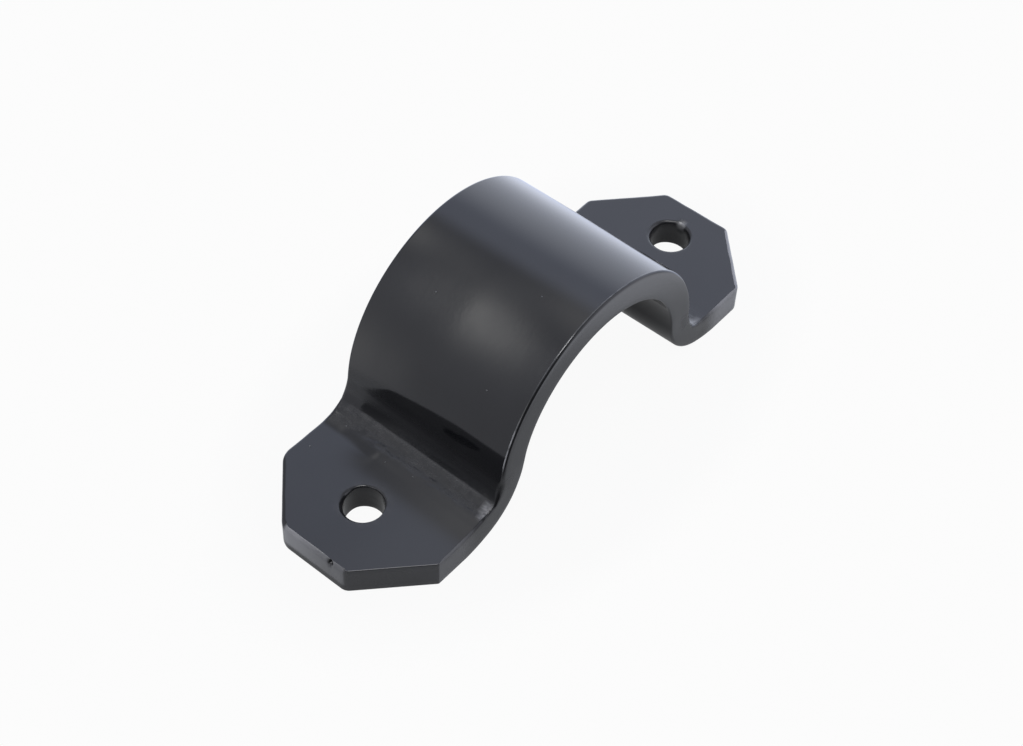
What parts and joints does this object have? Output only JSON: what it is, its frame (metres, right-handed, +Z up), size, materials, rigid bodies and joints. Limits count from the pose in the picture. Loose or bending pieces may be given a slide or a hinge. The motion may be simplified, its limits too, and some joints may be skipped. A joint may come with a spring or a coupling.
{
  "type": "suspension arm bracket",
  "caption": "Thick flat steel bar bent into a half-round saddle with a drilled, corner-clipped ear on each side, used to clamp a suspension arm's bush to a frame.",
  "frame": {"origin": "middle of the saddle, level with the underside of both ears", "axes": "+X from ear to ear, Y along the saddle's axis, +Z up through the crown of the saddle"},
  "size_m": [0.15, 0.05, 0.05],
  "materials": {
    "black_paint": "semi-gloss black paint over hot-rolled steel"
  },
  "bodies": {
    "root": {"saddle_bracket": "black_paint"}
  },
  "joints": []
}
